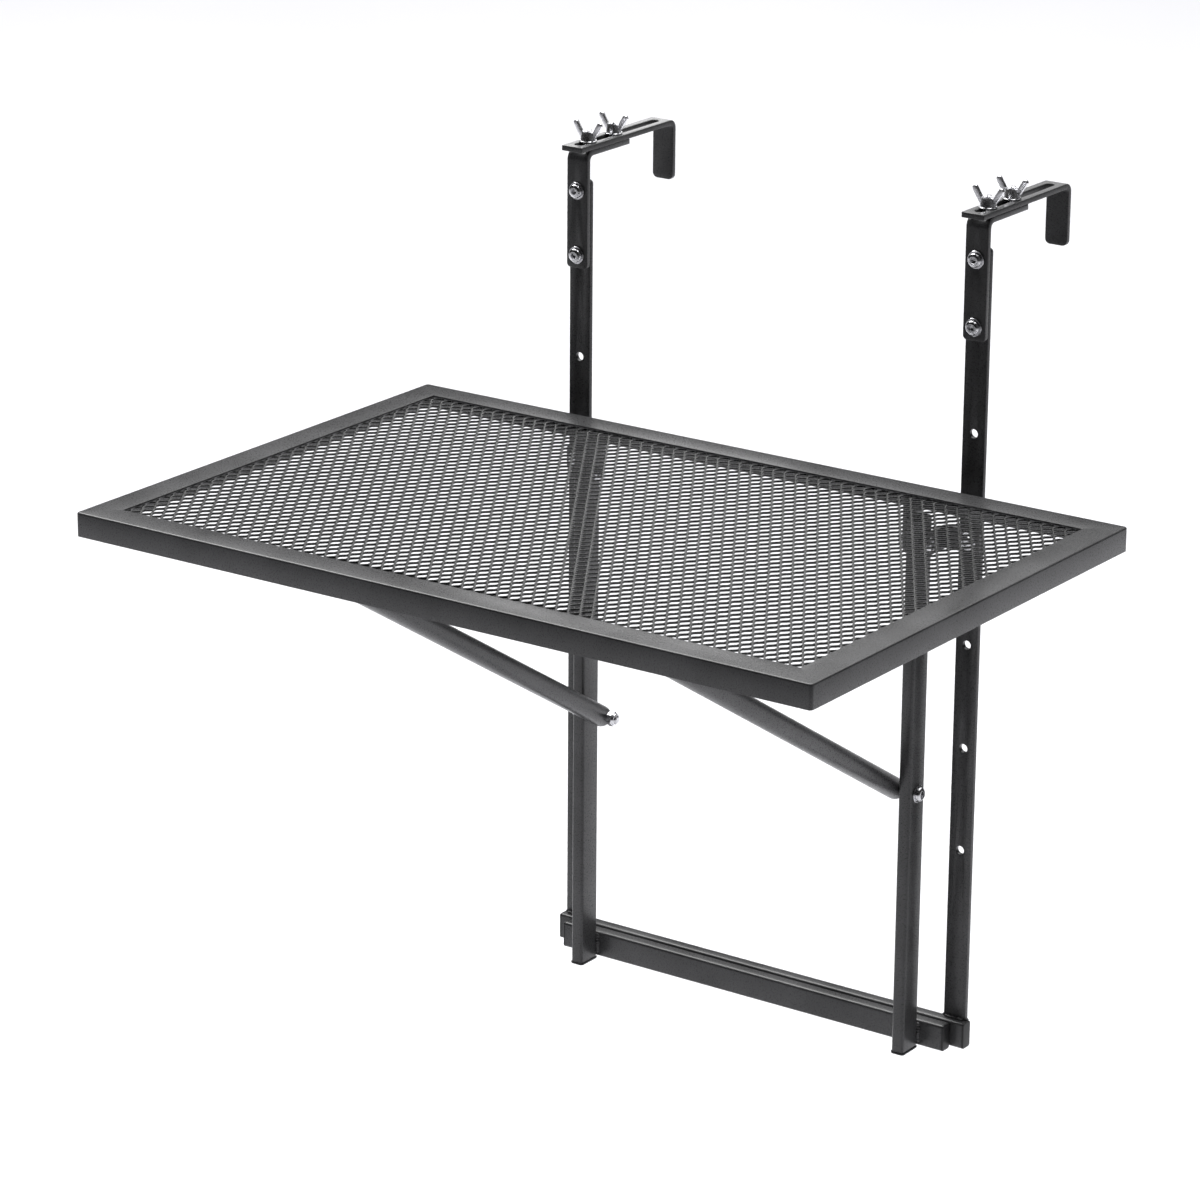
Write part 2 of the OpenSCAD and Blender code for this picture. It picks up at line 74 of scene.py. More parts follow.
# metal; stain is how dark its clouds get, as a share of the shade
zincLook = {
    "shade": 0.8,
    "stain": 0.8,
    "roughLow": 0.13,
    "roughHigh": 0.26,
    "cloudSize": 4.0,
    "grainSize": 0.35,
    "grainDepth": 0.006,
}
castLook = {**zincLook, "shade": 0.97, "stain": 0.9, "roughLow": 0.2, "roughHigh": 0.32, "grainDepth": 0.014}
plasticLook = {
    "dark": 0.010,
    "light": 0.018,
    "roughLow": 0.42,
    "roughHigh": 0.55,
    "grainSize": 0.5,
    "grainDepth": 0.02,
}


def nodeMaterial(name):
    material = bpy.data.materials.new(name)
    material.use_nodes = True
    tree = material.node_tree
    return material, tree, tree.nodes["Principled BSDF"], tree.nodes.new("ShaderNodeTexCoord")


def noiseAt(tree, place, size, detail=3.0):
    noise = tree.nodes.new("ShaderNodeTexNoise")
    noise.inputs["Scale"].default_value = 1.0 / (size * mm)
    noise.inputs["Detail"].default_value = detail
    tree.links.new(place.outputs["Object"], noise.inputs["Vector"])
    return noise.outputs["Fac"]


def spread(tree, source, low, high):
    # stretches the middle of a noise over low to high
    ramp = tree.nodes.new("ShaderNodeMapRange")
    ramp.inputs["From Min"].default_value = 0.3
    ramp.inputs["From Max"].default_value = 0.7
    ramp.inputs["To Min"].default_value = low
    ramp.inputs["To Max"].default_value = high
    tree.links.new(source, ramp.inputs["Value"])
    return ramp.outputs["Result"]


def shadeBetween(tree, source, dark, light):
    ramp = tree.nodes.new("ShaderNodeValToRGB")
    ramp.color_ramp.elements[0].position = 0.3
    ramp.color_ramp.elements[1].position = 0.7
    ramp.color_ramp.elements[0].color = (dark, dark, dark * 1.03, 1)
    ramp.color_ramp.elements[1].color = (light, light, light * 1.03, 1)
    tree.links.new(source, ramp.inputs["Fac"])
    return ramp.outputs["Color"]


def addBump(tree, shader, heights, depth):
    total = heights[0]
    for other in heights[1:]:
        add = tree.nodes.new("ShaderNodeMath")
        add.operation = "ADD"
        tree.links.new(total, add.inputs[0])
        tree.links.new(other, add.inputs[1])
        total = add.outputs[0]
    bump = tree.nodes.new("ShaderNodeBump")
    bump.inputs["Distance"].default_value = depth * mm
    tree.links.new(total, bump.inputs["Height"])
    tree.links.new(bump.outputs["Normal"], shader.inputs["Normal"])


def powderCoat(name, look):
    material, tree, shader, place = nodeMaterial(name)
    cloud = noiseAt(tree, place, look["cloudSize"], 2.0)
    grain = noiseAt(tree, place, look["grainSize"], 2.0)
    peel = noiseAt(tree, place, look["peelSize"], 1.0)
    dark = look["shade"] * (1 - look["shadeSpread"])
    light = look["shade"] * (1 + look["shadeSpread"])
    tree.links.new(shadeBetween(tree, cloud, dark, light), shader.inputs["Base Color"])
    tree.links.new(spread(tree, grain, look["roughLow"], look["roughHigh"]), shader.inputs["Roughness"])
    addBump(tree, shader, [grain, peel], look["grainDepth"])
    shader.inputs["IOR"].default_value = look["gloss"]
    return material


def zincPlate(name, look):
    material, tree, shader, place = nodeMaterial(name)
    cloud = noiseAt(tree, place, look["cloudSize"])
    grain = noiseAt(tree, place, look["grainSize"], 2.0)
    colour = shadeBetween(tree, cloud, look["shade"] * look["stain"], look["shade"])
    tree.links.new(colour, shader.inputs["Base Color"])
    tree.links.new(spread(tree, cloud, look["roughLow"], look["roughHigh"]), shader.inputs["Roughness"])
    addBump(tree, shader, [grain], look["grainDepth"])
    shader.inputs["Metallic"].default_value = 1.0
    return material


def mouldedPlastic(name, look):
    material, tree, shader, place = nodeMaterial(name)
    grain = noiseAt(tree, place, look["grainSize"], 2.0)
    tree.links.new(shadeBetween(tree, grain, look["dark"], look["light"]), shader.inputs["Base Color"])
    tree.links.new(spread(tree, grain, look["roughLow"], look["roughHigh"]), shader.inputs["Roughness"])
    addBump(tree, shader, [grain], look["grainDepth"])
    return material


coat = powderCoat("anthracitePowderCoat", coatLook)
# the mesh's material carries painted shade: its darkened base colour stands in for the shadowed sides of the
# strands
meshCoatWithPaintedShade = powderCoat("meshPowderCoatPaintedShade", meshLookWithPaintedShade)
weldCoat = powderCoat("coatOverWeld", weldLook)
zinc = zincPlate("brightZinc", zincLook)
castZinc = zincPlate("castZinc", castLook)
plastic = mouldedPlastic("blackPlastic", plasticLook)
print("finishes made")


def arcPoints(cx, cy, radius, start, end, count):
    angles = [math.radians(start + (end - start) * i / count) for i in range(count + 1)]
    return [(cx + radius * math.cos(a), cy + radius * math.sin(a)) for a in angles]


def circle(cx, cy, radius, count=32):
    return arcPoints(cx, cy, radius, 0, 360, count)[:-1]


def roundedRect(x0, y0, x1, y1, radii, count=6):
    # radii run from the lower left corner against the clock
    points = []
    corners = [(x0, y0, 180), (x1, y0, 270), (x1, y1, 0), (x0, y1, 90)]
    for (cx, cy, start), r in zip(corners, radii):
        if r <= 0:
            points.append((cx, cy))
        else:
            mx, my = cx + (r if cx == x0 else -r), cy + (r if cy == y0 else -r)
            points += arcPoints(mx, my, r, start, start + 90, count)
    return points


def axes(xTo, yTo, zTo, at=(0, 0, 0)):
    # matrix that takes local X, Y and Z to these directions
    turn = Matrix((xTo, yTo, zTo)).transposed()
    return Matrix.Translation(Vector(at)) @ turn.to_4x4()


def sideOf(side):
    # leaves the right side as it is and mirrors it for the left
    return Matrix.Scale(side, 4, (1, 0, 0))


def moved(bm, matrix):
    # a mirrored mesh has its faces turned outwards again
    bmesh.ops.transform(bm, matrix=matrix, verts=bm.verts)
    if matrix.determinant() < 0:
        bmesh.ops.reverse_faces(bm, faces=bm.faces)
    return bm


def tidied(bm):
    bmesh.ops.remove_doubles(bm, verts=bm.verts, dist=mergeDistance)
    bmesh.ops.recalc_face_normals(bm, faces=bm.faces)
    return bm


def joinInto(target, source, matrix=Matrix.Identity(4)):
    # adds the source to the target and frees it
    holder = bpy.data.meshes.new("holder")
    moved(source, matrix).to_mesh(holder)
    target.from_mesh(holder)
    bpy.data.meshes.remove(holder)
    source.free()


def makePiece(name, bm, body, material, stands=(), smooth=34.0):
    # scales the mesh to metres, smooths it up to an angle and lets it ride on its body
    mesh = bpy.data.meshes.new(name)
    bmesh.ops.scale(bm, vec=(mm, mm, mm), verts=bm.verts)
    bm.to_mesh(mesh)
    bm.free()
    mesh.shade_smooth()
    mesh.set_sharp_from_angle(angle=math.radians(smooth))
    mesh.materials.append(material)
    piece = bpy.data.objects.new(name, mesh)
    scene.collection.objects.link(piece)
    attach(piece, body)
    if stands:
        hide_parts(*stands)
    return piece


def plate(outline, holes, thick, edge):
    # flat blank on the XY plane with its edges eased over
    curve = bpy.data.curves.new("blank", "CURVE")
    curve.dimensions = "2D"
    curve.fill_mode = "BOTH"
    curve.extrude = thick / 2 - edge
    curve.bevel_depth = edge
    curve.bevel_resolution = 2
    curve.offset = -edge
    for loop in [outline, *holes]:
        spline = curve.splines.new("POLY")
        spline.points.add(len(loop) - 1)
        for point, (x, y) in zip(spline.points, loop):
            point.co = (x, y, 0, 1)
        spline.use_cyclic_u = True
    blank = bpy.data.objects.new("blank", curve)
    scene.collection.objects.link(blank)
    filled = blank.evaluated_get(bpy.context.evaluated_depsgraph_get())
    mesh = bpy.data.meshes.new_from_object(filled)
    bm = bmesh.new()
    bm.from_mesh(mesh)
    bpy.data.objects.remove(blank)
    bpy.data.curves.remove(curve)
    bpy.data.meshes.remove(mesh)
    return tidied(bm)


def foldDown(bm, start, radius, steps=10):
    # bends the blank a quarter turn towards -Z from y = start on; radius is that of its middle
    arc = radius * math.pi / 2
    for i in range(steps + 1):
        everything = bm.verts[:] + bm.edges[:] + bm.faces[:]
        at = (0, start + arc * i / steps, 0)
        bmesh.ops.bisect_plane(bm, geom=everything, plane_co=at, plane_no=(0, 1, 0), dist=mergeDistance)
    for vert in bm.verts:
        along = vert.co.y - start
        if along > 0:
            a = min(along, arc) / radius
            rest = max(along - arc, 0)
            reach = radius + vert.co.z
            vert.co.y = start + reach * math.sin(a) + rest * math.cos(a)
            vert.co.z = reach * math.cos(a) - rest * math.sin(a) - radius


def rings(loops, closed=True):
    # skins a row of loops that have the same number of points
    bm = bmesh.new()
    rows = [[bm.verts.new(p) for p in loop] for loop in loops]
    n = len(rows[0])
    for a, b in zip(rows, rows[1:]):
        for i in range(n):
            bm.faces.new((a[i], a[(i + 1) % n], b[(i + 1) % n], b[i]))
    if closed:
        bm.faces.new(rows[0][::-1])
        bm.faces.new(rows[-1])
    return bm


def roundLoops(profile, count):
    # a circle about Z for each point (radius, height); a point on the axis keeps a tiny one
    return [[(x, y, z) for x, y in circle(0, 0, max(r, 0.0001), count)] for r, z in profile]


def turned(profile, count=40, closed=True):
    return tidied(rings(roundLoops(profile, count), closed))


# where things sit; everything below hangs from the upper bracket bolts
post = {
    "x": 168.5,
    "width": 18.0,
    "thick": 4.0,
    "length": 577.0,
    "head": 8.0,
    "corner": 3.0,
    "edge": 0.5,
    "hole": 6.5,
}
boltDrop = 26.0  # from the railing's top down to the upper bolt
boltPitch = 48.0
holePitch = 78.0
holeCount = 6
postHoles = [-boltDrop] + [-boltDrop - boltPitch - holePitch * i for i in range(holeCount)]
postTop = post["head"] - boltDrop
postFoot = postTop - post["length"]
axisY, axisZ = -30.4, postHoles[3]  # the folding axis sits level with the fourth hole
topZ = axisZ + 38.0

rails = {
    "width": 600.0,
    "depth": 400.0,
    "rearY": -16.0,
    "flange": 23.0,
    "height": 17.5,
    "thick": 1.7,
    "corner": 2.5,
    "outerRound": 1.5,
    "eased": 0.35,
    "innerRound": 0.6,
}
midY = rails["rearY"] - rails["depth"] / 2


def railProfile():
    # points (inset from the outer face, height below the top) of the angle, with a rolled outer edge
    t, h, f = rails["thick"], rails["height"], rails["flange"]
    r, e, n = rails["outerRound"], rails["eased"], rails["innerRound"]
    points = arcPoints(r, -r, r, 180, 90, 6)
    points += arcPoints(f - e, -e, e, 90, 0, 3)
    points += arcPoints(f - e, e - t, e, 0, -90, 3)
    points += [(t + n, -t), (t + n / 3, -t - n / 3), (t, -t - n)]
    points += arcPoints(t - e, e - h, e, 0, -90, 2)
    points += arcPoints(e, e - h, e, -90, -180, 2)
    return points


def buildRail(name, node, angle, half, edge):
    # local X runs along the rail and local -Y points outwards; the ends are mitred
    r = rails["corner"]
    bends = [math.radians(45 + 9 * i) for i in range(6)]
    loops = []
    for end, a in [(-1, a) for a in bends] + [(1, a) for a in bends[::-1]]:
        loop = []
        for inset, z in railProfile():
            reach = max(r - inset, 0)
            x = half - max(r, inset) + reach * math.cos(a)
            y = edge - max(r, inset) + reach * math.sin(a)
            loop.append((end * x, -y, z))
        loops.append(loop)
    bm = tidied(rings(loops))
    moved(bm, Matrix.Translation((0, midY, topZ)) @ Matrix.Rotation(math.radians(angle), 4, "Z"))
    makePiece(name, bm, "table_top", coat, [node], smooth=30)


halfWidth, halfDepth = rails["width"] / 2, rails["depth"] / 2
buildRail("frontRail", "rail_front", 0, halfWidth, halfDepth)
buildRail("rearRail", "rail_rear", 180, halfWidth, halfDepth)
buildRail("leftRail", "rail_left", -90, halfDepth, halfWidth)
buildRail("rightRail", "rail_right", 90, halfDepth, halfWidth)
print("rails made")

# diamonds of the expanded metal: short way along the railing, long way front to back
grille = {
    "shortWay": 9.5,
    "longWay": 15.0,
    "strandWidth": 1.6,
    "strandHeight": 1.55,
    "bond": 2.4,
    "eased": 0.12,
    "lap": 9.0,  # how far the sheet reaches in under the rails
    "slope": 0.5,  # how far a strand drops from its left bond to its right one
}


def buildGrille():
    # each strand zigzags between the bonds on its left and on its right
    a, b = grille["shortWay"] / 2, grille["longWay"] / 2
    w, h, c = grille["strandWidth"], grille["strandHeight"], grille["eased"]
    halfX = halfWidth - rails["flange"] + grille["lap"]
    halfY = halfDepth - rails["flange"] + grille["lap"]
    flank = [(w / 2 - c, 0), (w / 2, -c), (w / 2, c - h), (w / 2 - c, -h)]
    section = flank + [(-x, z) for x, z in flank[::-1]]
    rowCount = int(halfY / b) + 2
    bm = bmesh.new()
    for k in range(-int(halfX / a), int(halfX / a)):
        bends = []
        for j in range(-rowCount, rowCount + 1):
            leftBond = (k + j) % 2 == 1
            x = k * a + w / 2 if leftBond else (k + 1) * a - w / 2
            z = 0 if leftBond else -grille["slope"]
            bends += [(x, j * b - grille["bond"] / 2, z), (x, j * b + grille["bond"] / 2, z)]
        run = []
        for (xa, ya, za), (xb, yb, zb) in zip(bends, bends[1:]):
            if yb <= -halfY or ya >= halfY:
                continue
            for y in (max(ya, -halfY), min(yb, halfY)):
                if not run or y > run[-1][1]:
                    s = (y - ya) / (yb - ya)
                    run.append((xa + (xb - xa) * s, y, za + (zb - za) * s))
        sheetTop = topZ - rails["thick"]
        loops = [[(x + sx, y + midY, sheetTop + z + sz) for sx, sz in section] for x, y, z in run]
        joinInto(bm, rings(loops))
    # the strands get the material with painted shade, a base colour darkened for their shadowed sides
    makePiece("expandedMetal", tidied(bm), "table_top", meshCoatWithPaintedShade, ["mesh_panel"], smooth=50)


buildGrille()
print("expanded metal made")

tab = {"thick": 3.0, "inner": 134.2, "radius": 9.0, "drop": 4.2, "edge": 0.4}
bracket = {"thick": 4.0, "arm": 46.0, "bend": 8.0, "tail": 10.0, "corner": 3.0, "edge": 0.5}
clampY = (5.5, 38.0)
hook = {"front": -15.0, "reach": 106.0, "drop": 46.0, "bend": 7.0, "corner": 4.0, "edge": 0.5}
slot = {"width": 7.0, "front": 6.0, "rear": 12.0}
hookTop = bracket["thick"] + post["thick"]
hinge = {"inner": 147.8, "thick": 3.0, "height": 17.0, "bend": 2.0, "edge": 0.4, "chamfer": 0.8}
sawnCorner = 0.6  # radius of a corner that is only deburred
pivotHole, clampHole = 3.05, 3.2  # radii


def buildTab(label, side):
    r, top = tab["radius"], topZ - tab["drop"]
    rear, foot = rails["rearY"] - rails["thick"], topZ - rails["height"]
    outline = [(axisY - r, top)] + arcPoints(axisY, axisZ, r, 180, 360, 20) + [(rear, foot), (rear, top)]
    bm = plate(outline, [circle(axisY, axisZ, pivotHole)], tab["thick"], tab["edge"])
    moved(bm, sideOf(side) @ axes((0, 1, 0), (0, 0, 1), (1, 0, 0), (tab["inner"] + tab["thick"] / 2, 0, 0)))
    makePiece("hingeTab_" + label, bm, "table_top", coat, ["hinge_tab_" + label])


def buildPost(label, side):
    w, t, r = post["width"] / 2, post["thick"], post["corner"]
    outline = roundedRect(-w, postFoot, w, postTop, (0, 0, r, r))
    bm = plate(outline, [circle(0, z, post["hole"] / 2) for z in postHoles], t, post["edge"])
    moved(bm, sideOf(side) @ axes((1, 0, 0), (0, 0, 1), (0, -1, 0), (post["x"], -t / 2, 0)))
    makePiece("post_" + label + "_bar", bm, "hanger", coat, ["post_" + label])


def buildClampBracket(label, side):
    w, t, r = post["width"] / 2, bracket["thick"], bracket["corner"]
    foot = postHoles[1] - bracket["tail"]
    middle = bracket["bend"] - t / 2
    rise = t - bracket["bend"] - foot
    corner = rise + middle * math.pi / 2 + post["thick"] + t - bracket["bend"]
    outline = roundedRect(-w, 0, w, corner + bracket["arm"], (r, r, sawnCorner, sawnCorner), 4)
    holes = [circle(0, z - foot, post["hole"] / 2) for z in postHoles[:2]]
    holes += [circle(0, corner + y, clampHole) for y in clampY]
    bm = plate(outline, holes, t, bracket["edge"])
    foldDown(bm, rise, middle)
    at = (post["x"], -post["thick"] - t / 2, foot)
    moved(bm, sideOf(side) @ axes((1, 0, 0), (0, 0, 1), (0, -1, 0), at))
    makePiece("clampBracket_" + label, bm, "hanger", coat, ["clamp_bracket_" + label])


def buildHook(label, side):
    w, t, r = post["width"] / 2, post["thick"], hook["corner"]
    middle = hook["bend"] - t / 2
    run = hook["reach"] - hook["bend"] - hook["front"]
    end = run + middle * math.pi / 2 + hook["drop"] - hook["bend"]
    outline = roundedRect(-w, 0, w, end, (sawnCorner, sawnCorner, r, r), 5)
    half = slot["width"] / 2
    low = slot["front"] + half
    high = hook["reach"] - hook["front"] - slot["rear"] - half
    opening = arcPoints(0, low, half, 180, 360, 14) + arcPoints(0, high, half, 0, 180, 14)
    bm = plate(outline, [opening], t, hook["edge"])
    foldDown(bm, run, middle)
    at = (post["x"], hook["front"], hookTop - t / 2)
    moved(bm, sideOf(side) @ axes((1, 0, 0), (0, 1, 0), (0, 0, 1), at))
    makePiece("hook_" + label + "_bar", bm, "hook_" + label, coat, ["hook_" + label])


def buildHingeBracket(label, side):
    t, r, middle, c = hinge["thick"], hinge["height"] / 2, hinge["bend"], hinge["chamfer"]
    start = -post["thick"] - t / 2 - middle - (axisY - r)
    corner = start + middle * math.pi / 2 - (hinge["inner"] + t / 2 + middle)
    end = corner + post["x"] + post["width"] / 2
    outline = arcPoints(0, r, r, 180, 360, 18) + [(r, end - c), (r - c, end), (c - r, end), (-r, end - c)]
    holes = [circle(0, r, pivotHole), circle(0, corner + post["x"], post["hole"] / 2)]
    bm = plate(outline, holes, t, hinge["edge"])
    foldDown(bm, start, middle, 6)
    at = (hinge["inner"] + t / 2, axisY - r, axisZ)
    moved(bm, sideOf(side) @ axes((0, 0, 1), (0, 1, 0), (-1, 0, 0), at))
    makePiece("hingeBracket_" + label, bm, "hanger", coat, ["hinge_bracket_" + label])


for label, side in sides:
    buildTab(label, side)
    buildPost(label, side)
    buildClampBracket(label, side)
    buildHook(label, side)
    buildHingeBracket(label, side)
print("flat bars made")

tube = {"wall": 1.5, "corner": 2.0, "rim": 0.3, "plug": 1.2, "plugCrown": 0.7}
crossbar = {"high": 20.0, "deep": 10.0, "stopGap": 0.4}
leg = {
    "x": 142.5,
    "y": axisY,
    "width": 10.0,
    "depth": 20.0,
    "top": topZ - rails["height"] - 1.5,
    "foot": postFoot - crossbar["high"] - 1.0,
    "cap": 1.5,
    "capCrown": 0.8,
    "capLip": 0.7,
}
rearBarZ = postFoot - crossbar["high"] / 2
legBarY, legBarZ = -1.5 * crossbar["deep"] - crossbar["stopGap"], leg["foot"] + crossbar["high"] / 2
rearBar = {"length": 360.0, "at": (0, -crossbar["deep"] / 2, rearBarZ)}
legBar = {"length": 338.0, "at": (0, legBarY, legBarZ)}


def tubeLoop(halfA, halfB, inset, radius, z):
    outline = roundedRect(inset - halfA, inset - halfB, halfA - inset, halfB - inset, [radius] * 4, 5)
    return [(x, y, z) for x, y in outline]


def tubeShell(halfA, halfB, z0, z1):
    # rectangular tube along Z, open at both ends, with eased rims
    wall, r, rim = tube["wall"], tube["corner"], tube["rim"]
    stations = [(wall, z0 + rim), (wall - rim, z0), (rim, z0), (0, z0 + rim)]
    stations += [(0, z1 - rim), (rim, z1), (wall - rim, z1), (wall, z1 - rim)]
    loops = [tubeLoop(halfA, halfB, inset, r - inset, z) for inset, z in stations]
    return tidied(rings(loops + loops[:1], closed=False))


def plugHead(halfA, halfB, thick, crown, lip=0.0):
    # closed end: a rounded pad with its crown out along +Z and a tongue inside the tube
    tongue, snug = 12.0, tube["wall"] + 0.1
    stations = [(snug + 0.5, -tongue), (snug, 1.5 - tongue), (snug, 0), (-lip, 0), (-lip, thick - crown)]
    stations += [(x - lip, thick - crown + z) for x, z in arcPoints(crown, 0, crown, 180, 90, 4)[1:]]
    loops = []
    for inset, z in stations:
        loops.append(tubeLoop(halfA, halfB, inset, max(tube["corner"] - inset, 0.3), z))
    return rings(loops)


def buildCrossbar(name, bar, body, node):
    halfDeep, halfHigh = crossbar["deep"] / 2, crossbar["high"] / 2
    half = bar["length"] / 2 - tube["plug"]
    place = axes((0, 1, 0), (0, 0, 1), (1, 0, 0), bar["at"])
    makePiece(name, moved(tubeShell(halfDeep, halfHigh, -half, half), place), body, coat, [node])
    plugs = bmesh.new()
    for _, side in sides:
        plug = plugHead(halfDeep, halfHigh, tube["plug"], tube["plugCrown"])
        joinInto(plugs, plug, sideOf(side) @ place @ Matrix.Translation((0, 0, half)))
    makePiece(name + "Plugs", tidied(plugs), body, plastic, [node + "_plugs"])


buildCrossbar("rearCrossbar", rearBar, "hanger", "rear_crossbar")
buildCrossbar("legCrossbar", legBar, "leg_frame", "leg_crossbar")
caps = bmesh.new()
for label, side in sides:
    shell = tubeShell(leg["width"] / 2, leg["depth"] / 2, leg["foot"], leg["top"])
    moved(shell, Matrix.Translation((side * leg["x"], leg["y"], 0)))
    makePiece("leg_" + label + "_tube", shell, "leg_frame", coat, ["leg_" + label])
    cap = plugHead(leg["width"] / 2, leg["depth"] / 2, leg["cap"], leg["capCrown"], leg["capLip"])
    footAt = (side * leg["x"], leg["y"], leg["foot"])
    joinInto(caps, cap, axes((1, 0, 0), (0, -1, 0), (0, 0, -1), footAt))
makePiece("footCaps", tidied(caps), "leg_frame", plastic, ["leg_caps"])
print("tubes made")

brace = {"radius": 8.0, "bend": 28.0, "rise": 199.0, "setback": 37.0, "topGap": 5.7, "legGap": 0.3}
braceX = leg["x"] - leg["width"] / 2 - leg["capLip"] - brace["legGap"] - brace["radius"]
bracePivot = Vector((axisY, leg["foot"] + brace["rise"]))
braceRestY = rails["rearY"] - rails["depth"] + brace["setback"]
braceRest = Vector((braceRestY, topZ - brace["topGap"] - brace["radius"]))


def buildBrace():
    # round tube swept up one arm, across the front and down the other, with domed ends
    r, bend = brace["radius"], brace["bend"]
    toRest = braceRest - bracePivot
    armEnd = toRest.length - bend
    domeSteps, bendSteps = 8, 12
    stations = []  # place across, way along the arm, heading in degrees and radius
    for i in range(domeSteps):
        a = math.radians(90 * i / domeSteps)
        stations.append((-braceX, -r * math.cos(a), 90, max(r * math.sin(a), 0.02)))
    stations += [(-braceX, d, 90, r) for d in (0, armEnd / 2, armEnd)]
    for i in range(1, bendSteps + 1):
        turn = 90 * i / bendSteps
        a = math.radians(turn)
        stations.append((bend - braceX - bend * math.cos(a), armEnd + bend * math.sin(a), 90 - turn, r))
    stations += [(-x, d, -heading, radius) for x, d, heading, radius in stations[::-1]]
    loops = []
    for x, d, heading, radius in stations:
        h = math.radians(heading)
        centre, sideways = Vector((x, d, 0)), Vector((math.sin(h), -math.cos(h), 0))
        loops.append([centre + sideways * u + Vector((0, 0, v)) for u, v in circle(0, 0, radius)])
    along = Vector((0, *toRest.normalized()))
    place = axes((1, 0, 0), along, Vector((1, 0, 0)).cross(along), (0, *bracePivot))
    makePiece("braceTube", tidied(moved(rings(loops), place)), "brace", coat, ["brace_tube"], smooth=40)


buildBrace()
print("brace made")

bolt = {
    "d": 6.0,
    "headD": 10.5,
    "headH": 3.3,
    "headRim": 2.9,
    "socket": 4.0,
    "socketDeep": 2.0,
    "pitch": 1.0,
    "threadDeep": 0.45,
    "sunkRadius": 5.4,
    "sunkDeep": 2.8,
    "plain": 6.0,  # how much of a clamp bolt has no thread
}
washerSize = {"d": 13.0, "thick": 1.2}
nut = {"flats": 10.0, "high": 6.0, "collar": 1.8, "tip": 1.5}
wing = {"thick": 2.8, "hubD": 11.5, "hubTopD": 8.4, "hubH": 6.5, "edge": 0.6}
headSteps = 48  # points around a head or nut; a multiple of six, so that the corners are met


def hexRadius(a):
    # distance from the middle of a hexagon of inner radius 1 to its side, at angle a
    return 1 / math.cos((a + math.pi / 6) % (math.pi / 3) - math.pi / 6)


def hexLoop(flat, z, trim=99.0, fall=0.0):
    # hexagon ring whose corners are trimmed to a radius and fall away for a chamfer
    loop = []
    for i in range(headSteps):
        a = 2 * math.pi * i / headSteps
        r = flat * hexRadius(a)
        reach = min(r, trim)
        loop.append((reach * math.cos(a), reach * math.sin(a), z + fall * max(0, r - flat * 1.01)))
    return loop


def threadRod(z0, z1, count=28):
    # shank with a wound thread and a chamfered end at z1
    pitch, sign = bolt["pitch"], 1 if z1 > z0 else -1
    core, crest = bolt["d"] / 2 - bolt["threadDeep"], bolt["d"] / 2 - 0.04
    lead = abs(z1 - z0) - 0.6
    ridge = [(0.0, core), (0.42, crest), (0.58, crest), (1.0, core)]
    bm = bmesh.new()
    rows = []
    for k in range(max(1, int(lead / pitch)) * count + 1):
        a = 2 * math.pi * k / count
        row = []
        for offset, r in ridge:
            z = z0 + sign * min((k / count + offset) * pitch, lead + 0.3)
            row.append(bm.verts.new((r * math.cos(a), sign * r * math.sin(a), z)))
        rows.append(row)
    for a, b in zip(rows, rows[1:]):
        for i in range(len(ridge) - 1):
            bm.faces.new((a[i], b[i], b[i + 1], a[i + 1]))
    joinInto(bm, turned([(core + 0.02, z0), (core + 0.02, z1 - sign * 0.5), (core - 0.5, z1)], count))
    return tidied(bm)


def buttonBolt(grip):
    # head with its seat at the origin, along +Z, a hexagon socket and the shank below
    half, high, rim, domeSteps = bolt["headD"] / 2, bolt["headH"], bolt["headRim"], 8
    skirt = 0.75
    profile = [(half - 0.25, 0), (half, 0.25), (half, skirt)]
    for i in range(1, domeSteps + 1):
        a = math.radians(90 * i / domeSteps)
        profile.append((rim + (half - rim) * math.cos(a), skirt + (high - skirt) * math.sin(a)))
    flat, floor = bolt["socket"] / 2, high - bolt["socketDeep"]
    loops = roundLoops(profile, headSteps)
    loops += [hexLoop(flat * 1.06, high), hexLoop(flat, high - 0.15)]
    loops += [hexLoop(flat, floor), hexLoop(flat * 0.3, floor - 0.5)]
    bm = rings(loops)
    threadStart = 2.5 - grip
    joinInto(bm, turned([(bolt["d"] / 2, 0.1), (bolt["d"] / 2, threadStart)], 28))
    joinInto(bm, threadRod(threadStart, -grip - nut["high"] - nut["tip"]))
    return bm


def washer():
    outer, inner, t = washerSize["d"] / 2, bolt["d"] / 2 + 0.06, washerSize["thick"]
    profile = [(inner + 0.1, 0), (outer - 0.2, 0), (outer, 0.2), (outer, t - 0.3), (outer - 0.3, t)]
    profile += [(inner + 0.15, t), (inner, t - 0.15), (inner, 0.1)]
    return turned(profile + profile[:1], headSteps, closed=False)


def lockNut():
    # seat at the origin, collar along +Z
    flat, high = nut["flats"] / 2, nut["high"]
    shoulder = high - nut["collar"]
    loops = [hexLoop(flat, 0, flat * 1.01), hexLoop(flat, 0.02, fall=0.55)]
    loops += [hexLoop(flat, shoulder, fall=-0.55), hexLoop(flat, shoulder, flat * 0.98)]
    collar = flat * 0.9
    profile = [(collar, shoulder + 0.1), (collar, high - 0.7), (collar - 0.25, high - 0.2)]
    profile += [(collar - 0.8, high), (3.3, high), (3.05, high - 0.3), (3.02, 0.3), (3.3, 0)]
    loops += roundLoops(profile, headSteps)
    return tidied(rings(loops + loops[:1], closed=False))


